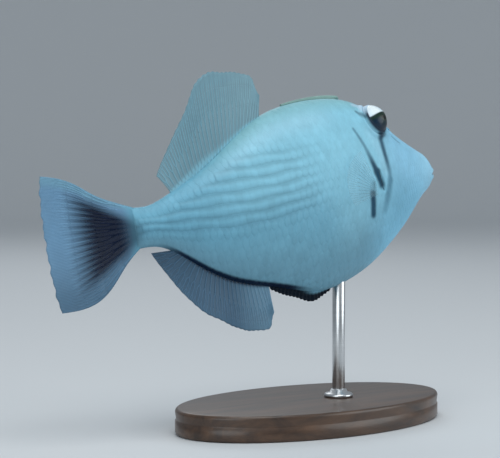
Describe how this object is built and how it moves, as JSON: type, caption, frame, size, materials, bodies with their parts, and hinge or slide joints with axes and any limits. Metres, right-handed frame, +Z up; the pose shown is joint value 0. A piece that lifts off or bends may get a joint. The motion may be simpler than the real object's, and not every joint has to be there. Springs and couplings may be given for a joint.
{
  "type": "boomerang triggerfish model",
  "caption": "Life-size still model of a boomerang triggerfish (Sufflamen bursa) swimming nose up and banked, held over a flat oval base by a slim rod",
  "frame": {"origin": "centre of the underside of the stand's base, on the surface that it stands on", "axes": "+X towards the fish's head, +Y to the fish's left, +Z up"},
  "size_m": [0.2198, 0.086, 0.1663],
  "materials": {
    "skin": "pale blue scaly skin, slightly wet, with darker curved bars behind the eye",
    "dark_skin": "blue-black skin fold",
    "spine": "dull green-grey spines and folded skin",
    "fin": "thin blue-grey membrane on fine rays",
    "eye": "glossy dark eye with a pale upper crescent",
    "steel": "satin steel rod",
    "wood": "dark waxed hardwood"
  },
  "bodies": {
    "root": {"head": "skin", "trunk": "skin", "tail_stalk": "skin", "ventral_flap": "dark_skin", "first_dorsal_fin": "spine", "second_dorsal_fin": "fin", "anal_fin": "fin", "caudal_fin": "fin", "pectoral_fin_right": "fin", "pectoral_fin_left": "fin", "eye_right": "eye", "eye_left": "eye", "stand_rod": "steel", "stand_base": "wood"}
  },
  "joints": []
}
